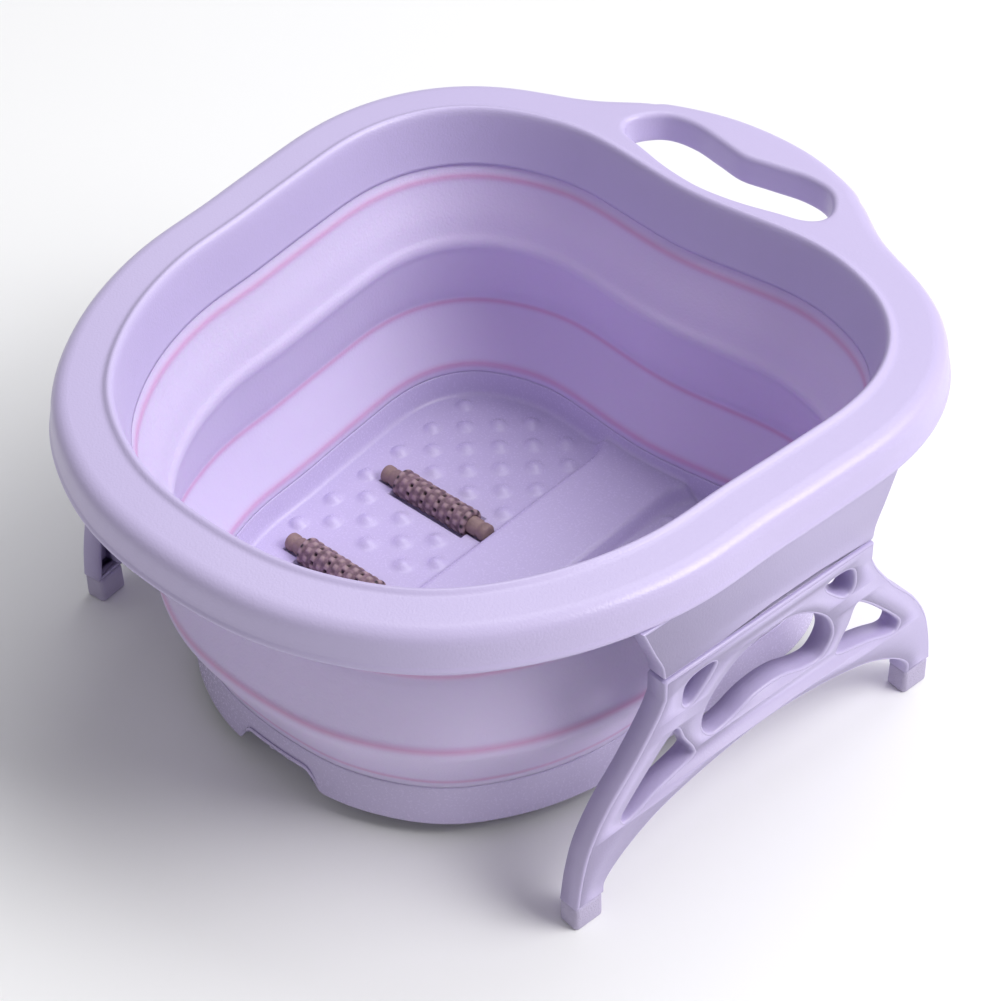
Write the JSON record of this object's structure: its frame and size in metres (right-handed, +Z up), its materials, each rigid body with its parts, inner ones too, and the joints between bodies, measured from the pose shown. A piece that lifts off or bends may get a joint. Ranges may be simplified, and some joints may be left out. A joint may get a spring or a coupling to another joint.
{
  "type": "foot spa basin",
  "caption": "Foldable foot spa basin with a stiff rim and carry handle, a soft folding wall, a tray with massage bumps and rollers, and hinged leg panels.",
  "frame": {"origin": "on the floor under the middle of the object's overall box", "axes": "+Y towards the carry handle, +X to the right seen from the front end, +Z up"},
  "size_m": [0.3746, 0.418, 0.1796],
  "materials": {
    "lilac_shell": "satin moulded polypropylene, lilac",
    "soft_wall": "satin translucent thermoplastic rubber, pale lilac with pinkish fold lines",
    "foot_rubber": "matt grey lilac rubber",
    "roller_plastic": "matt speckled mauve brown",
    "axle_plastic": "matt tan brown",
    "pin_steel": "plain drawn steel"
  },
  "bodies": {
    "rim_frame": {"rim": "lilac_shell", "folding_wall": "soft_wall", "left_apron": "lilac_shell", "right_apron": "lilac_shell", "left_front_hinge_pin": "pin_steel", "left_back_hinge_pin": "pin_steel", "right_front_hinge_pin": "pin_steel", "right_back_hinge_pin": "pin_steel"},
    "basin_tray": {"tray": "lilac_shell", "left_front_axle": "axle_plastic", "left_back_axle": "axle_plastic", "right_front_axle": "axle_plastic", "right_back_axle": "axle_plastic"},
    "left_front_roller": {"left_front_roller": "roller_plastic"},
    "left_back_roller": {"left_back_roller": "roller_plastic"},
    "right_front_roller": {"right_front_roller": "roller_plastic"},
    "right_back_roller": {"right_back_roller": "roller_plastic"},
    "left_leg": {"left_leg_panel": "lilac_shell", "left_front_foot_pad": "foot_rubber", "left_back_foot_pad": "foot_rubber"},
    "right_leg": {"right_leg_panel": "lilac_shell", "right_front_foot_pad": "foot_rubber", "right_back_foot_pad": "foot_rubber"}
  },
  "joints": [
    {"name": "basin_collapse", "type": "slide", "parent": "rim_frame", "child": "basin_tray", "axis": [0, 0, 1], "range_m": [0, 0.116], "deforming": ["folding_wall"]},
    {"name": "left_front_roller_spin", "type": "hinge", "parent": "basin_tray", "child": "left_front_roller", "pos_m": [-0.063, -0.051, 0.0192], "axis": [1, 0, 0], "continuous": true},
    {"name": "left_back_roller_spin", "type": "hinge", "parent": "basin_tray", "child": "left_back_roller", "pos_m": [-0.063, 0.018, 0.0192], "axis": [1, 0, 0], "continuous": true},
    {"name": "right_front_roller_spin", "type": "hinge", "parent": "basin_tray", "child": "right_front_roller", "pos_m": [0.063, -0.051, 0.0192], "axis": [1, 0, 0], "continuous": true},
    {"name": "right_back_roller_spin", "type": "hinge", "parent": "basin_tray", "child": "right_back_roller", "pos_m": [0.063, 0.018, 0.0192], "axis": [1, 0, 0], "continuous": true},
    {"name": "left_leg_fold", "type": "hinge", "parent": "rim_frame", "child": "left_leg", "pos_m": [-0.16351, -0.01677, 0.122], "axis": [0.1023, -0.9948, 0], "range_deg": [0, 64]},
    {"name": "right_leg_fold", "type": "hinge", "parent": "rim_frame", "child": "right_leg", "pos_m": [0.16351, -0.01677, 0.122], "axis": [0.1023, 0.9948, 0], "range_deg": [0, 64]}
  ],
  "couplings": [
    {"joint": "left_leg_fold", "follows": "basin_collapse", "rad_per_m": 9.629},
    {"joint": "right_leg_fold", "follows": "basin_collapse", "rad_per_m": 9.629}
  ]
}
